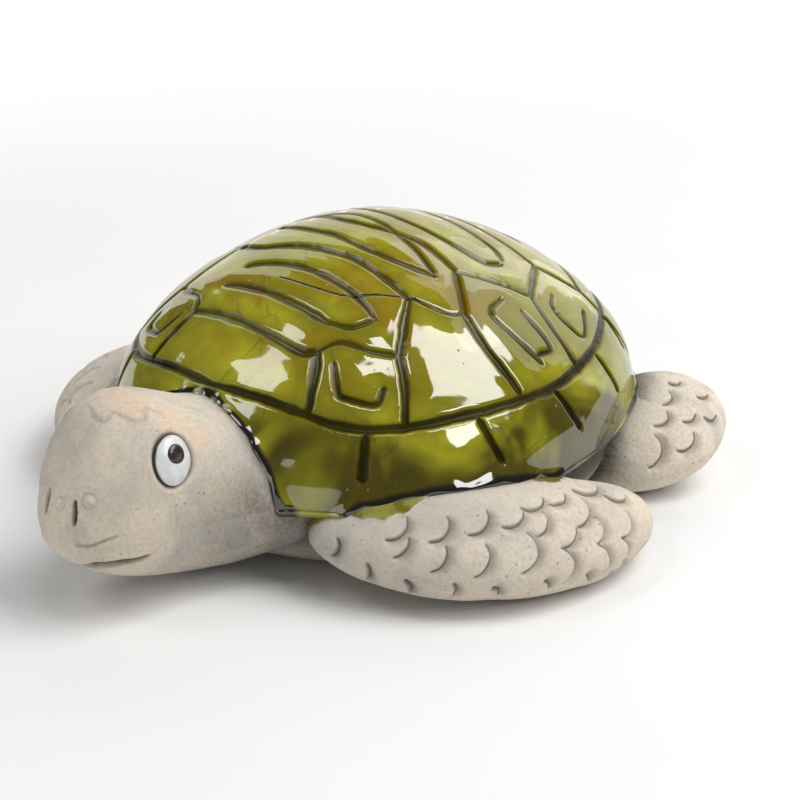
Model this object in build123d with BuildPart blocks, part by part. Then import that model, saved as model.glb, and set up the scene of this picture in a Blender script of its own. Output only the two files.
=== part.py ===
from build123d import *
import os
from math import copysign, cos, hypot, pi, radians, sin

# Sea turtle figurine, hand built from clay pieces that are luted together with slip and fired.
# Millimetres. The head points along -Y, the turtle's left side is +X and the floor is z = 0.
# The origin is on the belly's resting face, under the middle of the shell.
# Rounded forms are many-sided solids through rings of points, each ring worked out by formula.

# Shell: an egg plan, longer behind, on a level rim
shell_half_width = 50.0
shell_front_reach = 49.8
shell_rear_reach = 63.1
shell_rise = 39.4
rim_height = 16.5
shell_wall = 6.0
shell_side_share = 0.54
shell_crown_share = 0.30
shell_sides = 40
shell_rows = 10
inside_sides = 28
inside_rows = 6

# Scored scutes: gouges along lines on the shell's outside. Places in the plan are shares of its half
# width and of its front or rear reach. Side lines are mirrored and cross lines run over the middle.
groove_width = 2.2
groove_depth = 1.2
groove_floor_share = 0.5
groove_lap_share = 0.25
halvings = 24
side_line_shares = (
    ((0.32, -0.61), (0.37, -0.54), (0.48, -0.49), (0.56, -0.43), (0.44, -0.23)),
    ((0.44, -0.23), (0.56, -0.155), (0.595, -0.09), (0.44, 0.04)),
    ((0.44, 0.04), (0.55, 0.17), (0.61, 0.24), (0.46, 0.42)),
    ((0.46, 0.42), (0.55, 0.57), (0.30, 0.70)),
    ((0.32, -0.61), (0.37, -0.69), (0.41, -0.77)),
    ((0.56, -0.43), (0.64, -0.49), (0.70, -0.56)),
    ((0.595, -0.09), (0.73, -0.115), (0.87, -0.10)),
    ((0.61, 0.24), (0.74, 0.22), (0.86, 0.22)),
    ((0.55, 0.57), (0.72, 0.63)),
    ((0.30, 0.70), (0.40, 0.86)),
    ((0.395, -0.605), (0.455, -0.655), (0.49, -0.66), (0.59, -0.60), (0.585, -0.545)),
    ((0.595, 0.11), (0.63, 0.02), (0.73, 0.035), (0.83, 0.07)),
    ((0.66, 0.145), (0.79, 0.15), (0.805, 0.08)),
    ((0.605, 0.355), (0.675, 0.295), (0.77, 0.345), (0.66, 0.47)),
)
cross_line_shares = (
    ((-0.32, -0.61), (-0.13, -0.63), (0.02, -0.645), (0.15, -0.65), (0.265, -0.645), (0.32, -0.61)),
    ((-0.44, -0.23), (-0.265, -0.285), (-0.04, -0.265), (0.075, -0.25), (0.21, -0.23), (0.44, -0.23)),
    ((-0.44, 0.04), (-0.24, 0.005), (-0.08, -0.045), (0.065, -0.035), (0.27, 0.04), (0.44, 0.04)),
    ((-0.46, 0.42), (-0.24, 0.40), (0.0, 0.395), (0.24, 0.40), (0.46, 0.42)),
    ((-0.30, 0.70), (0.0, 0.68), (0.30, 0.70)),
    ((-0.265, -0.495), (-0.045, -0.51), (0.235, -0.515), (0.31, -0.50), (0.375, -0.465), (0.415, -0.39)),
    ((-0.245, -0.40), (-0.105, -0.38), (0.05, -0.365), (0.27, -0.365), (0.405, -0.39)),
    ((-0.34, -0.10), (-0.16, -0.155), (-0.015, -0.165), (0.175, -0.16), (0.325, -0.115), (0.42, -0.06)),
    ((-0.32, -0.03), (-0.12, 0.02), (0.05, 0.02), (0.265, -0.005), (0.405, -0.045)),
    ((-0.36, 0.205), (-0.16, 0.12), (0.03, 0.10), (0.22, 0.125), (0.42, 0.175), (0.45, 0.25)),
    ((-0.34, 0.26), (-0.12, 0.305), (0.10, 0.30), (0.345, 0.30), (0.43, 0.275)),
    ((-0.26, 0.545), (0.0, 0.49), (0.26, 0.545)),
    ((-0.26, 0.545), (0.0, 0.605), (0.26, 0.545)),
)

# Ring round the scutes and short ticks under it: directions in degrees and shares of the shell's rise
ring_rise_shares = (
    (-90, 0.45),
    (-76, 0.45),
    (-64, 0.415),
    (-54, 0.375),
    (-43, 0.36),
    (-27, 0.375),
    (-10, 0.38),
    (4, 0.37),
    (20, 0.385),
    (34, 0.40),
    (48, 0.41),
    (62, 0.41),
    (76, 0.40),
    (90, 0.40),
)
tick_rise_shares = (
    ((-48, 0.335), (-49, 0.15)),
    ((-20.5, 0.35), (-17, 0.155)),
    ((4, 0.36), (7, 0.155)),
    ((23.5, 0.36), (25, 0.165)),
    ((44, 0.38), (45, 0.165)),
    ((64, 0.38), (65, 0.165)),
    ((82, 0.37), (82.5, 0.165)),
)

# Belly: a tray under the rim with a flat foot and a vent for the kiln
belly_inset = 3.0
belly_wall = 5.0
belly_floor = 5.0
belly_foot_share = 0.62
belly_side_share = 0.45
belly_rows = 6
vent_radius = 3.0
vent_offset = 26.0

# Joins and cuts
slip_layer = 0.3
seat_clearance = 0.15
overrun = 5.0

# Head and neck: lengths along the head start from the shell's front. The neck flares into the shoulders.
neck_overlap = 9.8
head_length = 30.0
neck_reach = shell_front_reach - neck_overlap
nose_reach = shell_front_reach + head_length
head_half_width = 14.4
head_side_height = 23.2
head_top_height = 39.6
neck_side_height = 12.5
neck_top_height = 32.0
neck_flare = 10.2
throat_height = 1.9
chin_rise = 8.0
root_rise = 4.7
nose_drop = 2.7
face_lean = 2.6
lift_share = 0.64
throat_share = 0.28
throat_power = 1.3
head_blunt_power = 5.2
chin_blunt_power = 8.0
head_round_power = 2.2
head_square_power = 2.5
neck_square_power = 1.55
under_square_power = 2.5
head_sides = 28
head_rows = 12
neck_rows = 3

# Mouth and nostrils: lengths along the head start from the nose
mouth_height = 13.2
mouth_length = 9.4
mouth_gap = 0.9
mouth_depth = 1.4
nostril_spread = 3.9
nostril_height = 23.2
nostril_length = 4.4
nostril_width = 0.9
nostril_depth = 1.6

# Eyes: set back from the nose
eye_setback = 15.2
eye_height = 30.5
eye_half_width = 3.95
eye_half_height = 4.55
eye_half_depth = 1.8
eye_sink = 0.7
eye_lean = 13
eye_sides = 12
eye_rows = 6
pupil_half_width = 1.95
pupil_half_height = 2.0
pupil_half_depth = 0.7
pupil_sink = 0.45
pupil_front = 0.1
pupil_up = 0.9

# Flippers and tail: a bent spine through three places, as shares of the shell's half width,
# front or rear reach and rim height, and the paddle's half width, half thickness and roll
front_spine_shares = ((0.438, -0.78, 0.70), (1.08, -0.225, 0.55), (1.14, 0.217, 0.40))
front_half_width = 13.7
front_half_thickness = 9.1
front_roll = 12.3
rear_spine_shares = ((0.546, 0.569, 0.436), (0.85, 0.628, 0.545), (1.154, 0.678, 0.667))
rear_half_width = 17.1
rear_half_thickness = 7.7
rear_roll = 18
tail_spine_shares = ((0.0, 0.792, 0.545), (0.0, 0.983, 0.485), (0.0, 1.157, 0.333))
tail_half_width = 7.0
tail_half_thickness = 5.2
paddle_round_power = 0.42
paddle_sides = 24
paddle_rows = 12


def angles(count):
    """Evenly spaced directions of one full turn, in radians."""
    return [2 * pi * step / count for step in range(count)]


def signed_power(value, exponent):
    """Power that keeps its sign, for rounded-square rings."""
    return copysign(abs(value) ** exponent, value)


def many_sided(points):
    """Solid of flat facets through the points."""
    with BuildPart() as form:
        ConvexPolyhedron(points)
    return form.part


def plan_point(width_share, length_share):
    """Place on the shell's plan, from shares of its half width and of its front or rear reach."""
    reach = shell_front_reach if length_share < 0 else shell_rear_reach
    return (width_share * shell_half_width, length_share * reach)


def egg_ring(ring_share, grow, height, sides):
    """Ring on the shell's plan, drawn in by its share and grown all round."""
    ring = []
    for angle in angles(sides):
        reach = shell_front_reach if sin(angle) < 0 else shell_rear_reach
        across = ring_share * (shell_half_width + grow) * cos(angle)
        along = ring_share * (reach + grow) * sin(angle)
        ring.append((across, along, height))
    return ring


def dome(grow, foot, sides, rows):
    """Shell's outer form, grown all round, with its rim lowered by the foot."""
    points = [(0, 0, rim_height + shell_rise + grow)]
    points += egg_ring(1, grow, rim_height - foot, sides)
    for row in range(rows):
        side = dome_profile.line @ (row / rows)
        points += egg_ring(side.X, grow, rim_height + side.Y * (shell_rise + grow), sides)
    return many_sided(points)


def profile_place(measure, goal):
    """Place on the shell's unit profile where a rising measure of it reaches the goal, by halving."""
    low = 0
    high = 1
    for _ in range(halvings):
        middle = (low + high) / 2
        if measure(dome_profile.line @ middle) < goal:
            low = middle
        else:
            high = middle
    return dome_profile.line @ low


def place_over(width_share, length_share):
    """Place on the shell's outside over a place in its plan."""
    side = profile_place(lambda place: -place.X, -hypot(width_share, length_share))
    return Vector(*plan_point(width_share, length_share), rim_height + side.Y * shell_rise)


def place_round(angle, rise_share):
    """Place on the shell's outside in a direction, at a share of its rise."""
    side = profile_place(lambda place: place.Y, rise_share)
    plan = plan_point(side.X * cos(radians(angle)), side.X * sin(radians(angle)))
    return Vector(*plan, rim_height + rise_share * shell_rise)


def shell_outward(place):
    """Direction out of the shell at a place on it."""
    reach = shell_front_reach if place.Y < 0 else shell_rear_reach
    steep = Vector(place.X / shell_half_width**2, place.Y / reach**2)
    return (steep + Vector(0, 0, (place.Z - rim_height) / shell_rise**2)).normalized()


def gouges(places):
    """Cutters along a line on the shell's outside, one for each stretch and narrower at the floor."""
    cutters = []
    for start, end in zip(places, places[1:]):
        forward = (end - start).normalized()
        lap = forward * (groove_width * groove_lap_share)
        points = []
        for place in (start - lap, end + lap):
            outward = shell_outward(place)
            side = outward.cross(forward).normalized() * (groove_width / 2)
            for hand in (-1, 1):
                points.append(place + outward * groove_depth + side * hand)
                points.append(place - outward * groove_depth + side * (hand * groove_floor_share))
        cutters.append(many_sided(points))
    return cutters


def tray(grow, lift, sides):
    """Belly's outer form, grown all round, with its floor lifted."""
    points = []
    for row in range(belly_rows + 1):
        side = tray_profile.line @ (row / belly_rows)
        height = lift + side.Y * (rim_height - lift)
        points += egg_ring(side.X, grow - belly_inset, height, sides)
    return many_sided(points)


def paddle(spine_shares, half_width, half_thickness, roll):
    """Flipper: oval rings along a bent spine, swelling from the root and rounding off at the tip."""
    places = []
    for width_share, length_share, height_share in spine_shares:
        places.append((*plan_point(width_share, length_share), height_share * rim_height))
    with BuildLine() as spine:
        ThreePointArc(*places)
    points = [places[0], places[-1]]
    for row in range(1, paddle_rows):
        along_share = (1 - cos(pi * row / paddle_rows)) / 2
        swell = sin(pi * along_share) ** paddle_round_power
        forward = spine.line % along_share
        level = forward.cross(Vector(0, 0, 1)).normalized()
        outward = level.rotate(Axis((0, 0, 0), forward), roll)
        upward = forward.cross(outward)
        for angle in angles(paddle_sides):
            across = outward * (half_width * swell * cos(angle))
            through = upward * (half_thickness * swell * sin(angle))
            points.append(spine.line @ along_share + across + through)
    return many_sided(points)


def head_section(along_share):
    """Head's widest, top and under heights, flare and upper power at a share from neck to nose."""
    lift = min(along_share / lift_share, 1)
    soft_lift = lift * lift * (3 - 2 * lift)
    drop = nose_drop * (max(along_share - lift_share, 0) / (1 - lift_share)) ** 2
    side = neck_side_height + (head_side_height - neck_side_height) * soft_lift - drop
    top = neck_top_height + (head_top_height - neck_top_height) * soft_lift - drop
    ahead = max(along_share - throat_share, 0) / (1 - throat_share)
    behind = max(1 - along_share / throat_share, 0)
    under = throat_height + chin_rise * ahead**throat_power + root_rise * behind**2
    flare = neck_flare * (1 - lift) ** 2
    power = neck_square_power + (head_square_power - neck_square_power) * lift
    return side, top, under, flare, power


def head_blunt(along_share, power):
    """Share of the head's full width that is left where it rounds off towards the nose."""
    return (1 - along_share**power) ** (1 / head_round_power)


def head_reach(along_share, height, nose):
    """Reach in front of the middle at a share from neck to nose, where the face leans back."""
    lean = (height - head_side_height) / (head_top_height - head_side_height)
    return neck_reach + along_share * (nose - neck_reach) - face_lean * along_share**2 * lean


def head_ring(along_share, shrink):
    """Ring round the head or neck, shrunk all round."""
    side, top, under, flare, upper_power = head_section(along_share)
    ring = []
    for angle in angles(head_sides):
        low = max(-sin(angle), 0)
        blunt = head_blunt(along_share, head_blunt_power + (chin_blunt_power - head_blunt_power) * low)
        power = under_square_power if low else upper_power
        half_height = (side - under if low else top - side) * blunt
        half_width = head_half_width * blunt + flare
        across = signed_power(cos(angle), 2 / power) * max(half_width - shrink, 0)
        height = side + signed_power(sin(angle), 2 / power) * max(half_height - shrink, 0)
        ring.append((across, -head_reach(along_share, height, nose_reach - shrink), height))
    return ring


def head_blocks(shrink):
    """Head, and the neck in short stretches behind it, shrunk all round."""
    rings = [head_ring(sin(pi / 2 * row / head_rows), shrink) for row in range(head_rows + 1)]
    blocks = [many_sided(rings[row] + rings[row + 1]) for row in range(neck_rows)]
    blocks.append(many_sided([point for ring in rings[neck_rows:] for point in ring]))
    return blocks


def pellet(plane, half_width, half_height, half_depth):
    """Flattened ball with its depth along the plane's normal."""
    points = []
    for row in range(eye_rows + 1):
        tilt = pi * row / eye_rows
        for angle in angles(eye_sides):
            across = half_width * sin(tilt) * cos(angle)
            along = half_height * sin(tilt) * sin(angle)
            points.append(plane.from_local_coords(Vector(across, along, half_depth * cos(tilt))))
    return many_sided(points)


# Unit profiles: the shell's rounded side and crown, and the belly's flat foot and rising side
with BuildLine() as dome_profile:
    Bezier((1, 0), (1, shell_side_share), (shell_crown_share, 1), (0, 1))

with BuildLine() as tray_profile:
    Bezier((belly_foot_share, 0), (1, 0), (1, belly_side_share), (1, 1))

shell_form = dome(0, 0, shell_sides, shell_rows)
shell_hollow = dome(-shell_wall, 0, inside_sides, inside_rows)
shell_clear = dome(slip_layer, slip_layer, shell_sides, shell_rows)
belly_form = tray(0, 0, shell_sides)
belly_hollow = tray(-belly_wall, belly_floor, inside_sides)
belly_clear = tray(slip_layer, 0, shell_sides)

# Scoring: the side lines and ticks on both sides, the cross lines and the ring
side_lines = [[place_over(*place) for place in line] for line in side_line_shares]
side_lines += [[place_round(*place) for place in line] for line in tick_rise_shares]
side_lines.append([place_round(*place) for place in ring_rise_shares])
cross_lines = [[place_over(*place) for place in line] for line in cross_line_shares]
side_gouges = [cutter for line in side_lines for cutter in gouges(line)]
cross_gouges = [cutter for line in cross_lines for cutter in gouges(line)]
other_gouges = [mirror(cutter, about=Plane.YZ) for cutter in side_gouges]

with BuildPart() as carapace:
    add(shell_form)
    add(shell_hollow, mode=Mode.SUBTRACT)
    add(side_gouges + other_gouges + cross_gouges, mode=Mode.SUBTRACT)

with BuildPart() as plastron:
    add(belly_form)
    add(belly_hollow, mode=Mode.SUBTRACT)
    with Locations((0, vent_offset, 0)):
        Cylinder(vent_radius, 2 * (belly_floor + overrun), mode=Mode.SUBTRACT)

# Eye seats: the place and outward direction on the head's side, leaning back at the top
eye_share = 1 - eye_setback / (nose_reach - neck_reach)
eye_side, eye_top, _, eye_flare, eye_power = head_section(eye_share)
eye_blunt = head_blunt(eye_share, head_blunt_power)
eye_head_width = head_half_width * eye_blunt + eye_flare
eye_head_height = (eye_top - eye_side) * eye_blunt
eye_up_share = (eye_height - eye_side) / eye_head_height
eye_out_share = (1 - eye_up_share**eye_power) ** (1 / eye_power)
eye_reach = head_reach(eye_share, eye_height, nose_reach)
eye_point = Vector(eye_out_share * eye_head_width, -eye_reach, eye_height)
eye_outward = Vector(
    eye_out_share ** (eye_power - 1) / eye_head_width,
    0,
    eye_up_share ** (eye_power - 1) / eye_head_height,
).normalized()
eye_seat = Plane(eye_point, x_dir=(0, -1, 0), z_dir=eye_outward).rotated((0, 0, eye_lean))
eye_plane = eye_seat.offset(-eye_sink)
pupil_edge_share = hypot(pupil_front / eye_half_width, pupil_up / eye_half_height)
pupil_lift = eye_half_depth * (1 - pupil_edge_share**2) ** 0.5 - pupil_sink
pupil_plane = Plane(
    eye_plane.from_local_coords(Vector(pupil_front, -pupil_up, pupil_lift)),
    x_dir=eye_plane.x_dir,
    z_dir=eye_plane.z_dir,
)

eye_form = pellet(eye_plane, eye_half_width, eye_half_height, eye_half_depth)
eye_socket = pellet(
    eye_plane,
    eye_half_width + seat_clearance,
    eye_half_height + seat_clearance,
    eye_half_depth + seat_clearance,
)
eye_socket_right = mirror(eye_socket, about=Plane.YZ)
pupil_form = pellet(pupil_plane, pupil_half_width, pupil_half_height, pupil_half_depth)
pupil_pocket = pellet(
    pupil_plane,
    pupil_half_width + seat_clearance,
    pupil_half_height + seat_clearance,
    pupil_half_depth + seat_clearance,
)

head_solids = head_blocks(0)
head_cores = head_blocks(mouth_depth)
head_clear = head_blocks(-slip_layer)

# Mouth: a level slit from corner to corner, one depth into the skin
with BuildPart() as mouth:
    with Locations((0, -nose_reach - overrun, mouth_height)):
        Box(2 * (head_half_width + overrun), 2 * (mouth_length + overrun), mouth_gap)
    add(head_cores, mode=Mode.SUBTRACT)

with BuildPart() as head:
    add(head_solids)
    add(shell_clear, mode=Mode.SUBTRACT)
    add(belly_clear, mode=Mode.SUBTRACT)
    add(mouth.part, mode=Mode.SUBTRACT)
    with BuildSketch(Plane.XZ.offset(nose_reach - nostril_depth)):
        with Locations((-nostril_spread, nostril_height), (nostril_spread, nostril_height)):
            SlotOverall(nostril_length, nostril_width, rotation=90)
    extrude(amount=nostril_depth + overrun, mode=Mode.SUBTRACT)
    add(eye_socket, mode=Mode.SUBTRACT)
    add(eye_socket_right, mode=Mode.SUBTRACT)

with BuildPart() as eye_left:
    add(eye_form)
    add(pupil_pocket, mode=Mode.SUBTRACT)

with BuildPart() as pupil_left:
    add(pupil_form)

front_form = paddle(front_spine_shares, front_half_width, front_half_thickness, front_roll)
rear_form = paddle(rear_spine_shares, rear_half_width, rear_half_thickness, rear_roll)
tail_form = paddle(tail_spine_shares, tail_half_width, tail_half_thickness, 0)

with BuildPart() as front_flipper_left:
    add(front_form)
    split(bisect_by=Plane.XY, keep=Keep.TOP)
    add(head_clear, mode=Mode.SUBTRACT)
    add(shell_clear, mode=Mode.SUBTRACT)
    add(belly_clear, mode=Mode.SUBTRACT)

with BuildPart() as rear_flipper_left:
    add(rear_form)
    split(bisect_by=Plane.XY, keep=Keep.TOP)
    add(shell_clear, mode=Mode.SUBTRACT)
    add(belly_clear, mode=Mode.SUBTRACT)

with BuildPart() as tail:
    add(tail_form)
    add(shell_clear, mode=Mode.SUBTRACT)
    add(belly_clear, mode=Mode.SUBTRACT)

pieces = {"carapace": carapace.part, "plastron": plastron.part, "head": head.part, "tail": tail.part}
paired = {
    "front_flipper": front_flipper_left.part,
    "rear_flipper": rear_flipper_left.part,
    "eye": eye_left.part,
    "pupil": pupil_left.part,
}
for name, left_piece in paired.items():
    pieces[f"{name}_left"] = left_piece
    pieces[f"{name}_right"] = mirror(left_piece, about=Plane.YZ)

os.makedirs("parts", exist_ok=True)
for name, piece in pieces.items():
    piece.label = name
    export_step(piece, f"parts/{name}.step")
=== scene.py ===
from math import atan2, cos, pi, radians, sin, tan

import bpy
import numpy as np
from mathutils import Matrix, Vector
from mathutils.bvhtree import BVHTree
from numpy.linalg import norm


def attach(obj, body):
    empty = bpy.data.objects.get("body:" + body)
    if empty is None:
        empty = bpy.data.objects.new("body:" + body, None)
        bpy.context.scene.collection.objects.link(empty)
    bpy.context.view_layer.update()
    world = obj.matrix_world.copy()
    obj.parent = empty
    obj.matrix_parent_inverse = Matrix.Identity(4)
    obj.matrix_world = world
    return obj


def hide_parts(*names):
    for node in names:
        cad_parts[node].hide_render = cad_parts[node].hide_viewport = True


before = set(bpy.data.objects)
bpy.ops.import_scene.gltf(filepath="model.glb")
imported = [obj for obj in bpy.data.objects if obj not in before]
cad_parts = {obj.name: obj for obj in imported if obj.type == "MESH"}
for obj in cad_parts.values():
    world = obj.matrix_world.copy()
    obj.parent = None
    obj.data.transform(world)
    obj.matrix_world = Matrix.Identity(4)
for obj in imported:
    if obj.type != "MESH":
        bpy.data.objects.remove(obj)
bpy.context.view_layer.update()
scene = bpy.context.scene

# Lengths are millimetres here, in the part's own frame, and become metres in make_piece
MM = 0.001

# Shell, as in the part's source
SHELL_HALF_WIDTH = 50.0
SHELL_FRONT = 49.8
SHELL_REAR = 63.1
SHELL_RISE = 39.4
RIM = 16.5
SHELL_WALL = 6.0
SIDE_SHARE = 0.54
CROWN_SHARE = 0.3

# Belly tray
BELLY_INSET = 3.0
BELLY_FOOT_SHARE = 0.62
BELLY_SIDE_SHARE = 0.45

# Head and neck
NECK_Y = 40.0
NOSE_Y = 79.8
HEAD_WIDE = 14.4
HEAD_SIDE_Z = 23.2
HEAD_TOP_Z = 39.6
NECK_SIDE_Z = 12.5
NECK_TOP_Z = 32.0
NECK_FLARE = 10.2
THROAT_Z = 1.9
CHIN_RISE = 8.0
ROOT_RISE = 4.7
NOSE_DROP = 2.7
FACE_LEAN = 2.6
LIFT_SHARE = 0.64
THROAT_SHARE = 0.28
NOSE_BLUNT = 5.2
CHIN_BLUNT = 2.8
BLUNT_ROOT = 2.2
UNDER_POWER = 2.5
NECK_POWER = 1.55
HEAD_POWER_GAIN = 0.95
CHIN_POWER = 1.3

# Paddles: three spine places, half width, half thickness and roll
FRONT_SPINE = ((21.9, -38.8, 11.6), (54.0, -11.2, 9.1), (57.0, 13.7, 6.6))
FRONT_SIZE = (13.7, 9.1, 12.3)
REAR_SPINE = ((27.3, 35.9, 7.2), (42.5, 39.6, 9.0), (57.7, 42.8, 11.0))
REAR_SIZE = (17.1, 7.7, 18.0)
TAIL_SPINE = ((0.0, 50.0, 9.0), (0.0, 62.0, 8.0), (0.0, 73.0, 5.5))
TAIL_SIZE = (7.0, 5.2, 0.0)
PADDLE_POWER = 0.42
PADDLE_ROOT_SHARE = 0.985
PADDLE_RUN_POWER = 1.6
TAIL_ROOT_SHARE = 0.93

# Meshes: places across each disc grid, rings and sides of the paddles, and how meshes start and close
HEAD_GRID = 361
PADDLE_GRID = (470, 380)
TAIL_GRID = 121
DOME_GRID = 501
BELLY_GRID = 161
EYE_GRID = 121
PUPIL_GRID = 81
INNER_RING_SHARE = 0.01
CAP_SHARE = 0.02
PROFILE_COUNT = 2001
TRAY_COUNT = 200
FAR = 1000.0

# Noise that is the same in every run
HASH_FACTORS = (374761393, 668265263, 2147483647)
HASH_MIXER = 1274126177
HASH_MASK = 0xFFFFFFFF
SEED_STEP = 17.13


def disc_grid(count):
    """Even grid on a disc: each point's angle and share of the radius, its quads and its border."""
    line = np.linspace(-1.0, 1.0, count)
    a, b = np.meshgrid(line, line, indexing="ij")
    share = np.maximum(abs(a), abs(b))
    wide = abs(a) >= abs(b)
    over_a = b / np.where(wide & (a != 0), a, 1.0)
    over_b = a / np.where(~wide, b, 1.0)
    angle = np.where(
        wide,
        pi / 4 * over_a + np.where(a < 0, pi, 0.0),
        pi / 2 - pi / 4 * over_b + np.where(b < 0, pi, 0.0),
    )
    index = np.arange(count * count).reshape(count, count)
    quads = np.stack([index[:-1, :-1], index[1:, :-1], index[1:, 1:], index[:-1, 1:]], -1)
    border = np.concatenate([index[:-1, 0], index[-1, :-1], index[:0:-1, -1], index[0, :0:-1]])
    return angle.ravel(), share.ravel(), quads.reshape(-1, 4), border


def ring_grid(rings, sides):
    """Rings on a disc, closed in the middle by a ladder of quads: values as those of disc_grid."""
    turns = np.arange(sides) * (2 * pi / sides)
    share, angle = np.meshgrid(np.linspace(INNER_RING_SHARE, 1.0, rings), turns, indexing="ij")
    index = np.arange(rings * sides).reshape(rings, sides)
    beside = np.roll(index, -1, axis=1)
    quads = np.stack([index[:-1], index[1:], beside[1:], beside[:-1]], -1).reshape(-1, 4)
    step = np.arange(sides // 2 - 1)
    ladder = np.stack([step, step + 1, sides - 2 - step, sides - 1 - step], -1)
    return angle.ravel(), share.ravel(), np.concatenate([quads, ladder]), index[-1]


def add_loops(points, quads, border, loops):
    """Skirt of more loops beyond the border. Returns the points, quads and the last loop."""
    last = border
    for loop in loops:
        fresh = np.arange(len(points), len(points) + len(loop))
        points = np.concatenate([points, loop])
        strip = np.stack([last, fresh, np.roll(fresh, -1), np.roll(last, -1)], -1)
        quads = np.concatenate([quads, strip])
        last = fresh
    return points, quads, last


def vertex_normals(points, quads, middle):
    """Unit normals from the quads' diagonals, pointing away from the middle."""
    corner = points[quads]
    face = np.cross(corner[:, 2] - corner[:, 0], corner[:, 3] - corner[:, 1])
    normals = np.zeros_like(points)
    for side in range(4):
        np.add.at(normals, quads[:, side], face)
    normals /= np.maximum(norm(normals, axis=1, keepdims=True), 1e-12)
    return normals * np.sign((normals * (points - middle)).sum(1).mean())


def ease(value):
    """Soft step from 0 to 1."""
    value = np.clip(value, 0.0, 1.0)
    return value * value * (3.0 - 2.0 * value)


def hash_noise(cells):
    """Repeatable values from -1 to 1 on whole-number cells."""
    mixed = sum(cells[..., k].astype(np.int64) * factor for k, factor in enumerate(HASH_FACTORS)) & HASH_MASK
    mixed = ((mixed ^ (mixed >> 13)) * HASH_MIXER) & HASH_MASK
    return (mixed ^ (mixed >> 16)) / (HASH_MASK / 2) - 1.0


def lumps(points, size, seed):
    """Smooth hand-made unevenness from -1 to 1, with lumps about that size apart."""
    place = points / size + seed * SEED_STEP
    base = np.floor(place)
    part = ease(place - base)
    total = np.zeros(len(points))
    for corner in range(8):
        step = np.array([corner & 1, corner >> 1 & 1, corner >> 2 & 1])
        weight = np.prod(np.where(step == 1, part, 1.0 - part), axis=1)
        total += weight * hash_noise(base + step)
    return total


def uneven(points, *layers):
    """Sum of lumps. Each layer has its size, seed and height."""
    return sum(lumps(points, size, seed) * height for size, seed, height in layers)


def bell(distance, width):
    """Soft falloff with distance, 1 at none and about a third at the width."""
    return np.exp(-((distance / width) ** 2))


def line_distance(points, line, reach):
    """Distance to a line through places, share along it and nearest place, for points within reach."""
    line = np.asarray(line, float)
    near = np.full(len(points), FAR)
    along = np.zeros(len(points))
    foot = np.zeros((len(points), 3))
    low, high = line.min(0) - reach, line.max(0) + reach
    pick = np.nonzero(((points > low) & (points < high)).all(1))[0]
    lengths = norm(np.diff(line, axis=0), axis=1)
    starts = np.concatenate([[0.0], np.cumsum(lengths)])
    for k, length in enumerate(lengths):
        way = (line[k + 1] - line[k]) / length
        offset = points[pick] - line[k]
        run = np.clip(offset @ way, 0.0, length)
        far = norm(offset - run[:, None] * way, axis=1)
        closer = far < near[pick]
        chosen = pick[closer]
        near[chosen] = far[closer]
        along[chosen] = (starts[k] + run[closer]) / starts[-1]
        foot[chosen] = line[k] + run[closer][:, None] * way
    return near, along, foot


def taper(along, power):
    """Share of a stroke's width along it, falling to nothing at its two ends."""
    return np.sqrt(np.clip(1 - abs(2 * along - 1) ** power, 0, 1))


def dab(points, place, size):
    """Soft round spot, 1 in the middle and 0 from its size outwards."""
    return ease(1 - norm(points - np.asarray(place), axis=1) / size)


def rounded_line(places, pieces=8):
    """Soft curve through places, or the straight line between two."""
    p = np.asarray(places, float)
    if len(p) == 2:
        return np.linspace(*p, pieces + 1)
    ends = np.concatenate([[2 * p[0] - p[1]], p, [2 * p[-1] - p[-2]]])
    t = np.arange(pieces)[:, None] / pieces
    out = []
    for a, b, c, d in zip(ends, ends[1:], ends[2:], ends[3:]):
        bend = (2 * a - 5 * b + 4 * c - d) * t * t + (3 * b - a - 3 * c + d) * t**3
        out.append(0.5 * (2 * b + (c - a) * t + bend))
    return np.concatenate([*out, p[-1:]])


# The shell's profile, from the rim (0) to the crown (1), at even arc lengths
curve = np.linspace(0.0, 1.0, PROFILE_COUNT)
back = 1 - curve
curve_out = back**3 + 3 * back**2 * curve + 3 * back * curve**2 * CROWN_SHARE
curve_up = 3 * back**2 * curve * SIDE_SHARE + 3 * back * curve**2 + curve**3
mean_reach = 0.5 * (SHELL_FRONT + SHELL_REAR)
curve_steps = np.hypot(np.diff(curve_out) * mean_reach, np.diff(curve_up) * SHELL_RISE)
curve_run = np.concatenate([[0.0], np.cumsum(curve_steps)])
curve_run /= curve_run[-1]

# The belly tray's side, from its foot (0) to the rim (1)
tray = np.linspace(0.0, 1.0, TRAY_COUNT)
back = 1 - tray
tray_out = BELLY_FOOT_SHARE * back**3 + 3 * back**2 * tray + 3 * back * tray**2 + tray**3
tray_up = 3 * back * tray**2 * BELLY_SIDE_SHARE + tray**3


def reach_of(along):
    """Shell's reach on the side, front or rear, that a value's sign tells."""
    return np.where(along < 0, SHELL_FRONT, SHELL_REAR)


def dome_points(angle, run, grow=0.0):
    """Shell's surface at an angle round the plan and a share of the way from rim to crown."""
    out = np.interp(run, curve_run, curve_out)
    up = np.interp(run, curve_run, curve_up)
    return np.stack(
        [
            (SHELL_HALF_WIDTH + grow) * out * np.cos(angle),
            (reach_of(np.sin(angle)) + grow) * out * np.sin(angle),
            RIM + (SHELL_RISE + grow) * up,
        ],
        -1,
    )


def dome_over(places):
    """Places on the shell above plan places."""
    across, along = places[:, 0] / SHELL_HALF_WIDTH, places[:, 1] / reach_of(places[:, 1])
    out = np.clip(np.hypot(across, along), 0.0, 1.0)
    run = np.interp(-out, -curve_out, curve_run)
    return dome_points(np.arctan2(along, across), run)


def dome_at(places):
    """Places on the shell from an angle round the plan, in degrees, and a share of its rise."""
    run = np.interp(places[:, 1], curve_up, curve_run)
    return dome_points(np.radians(places[:, 0]), run)


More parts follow.
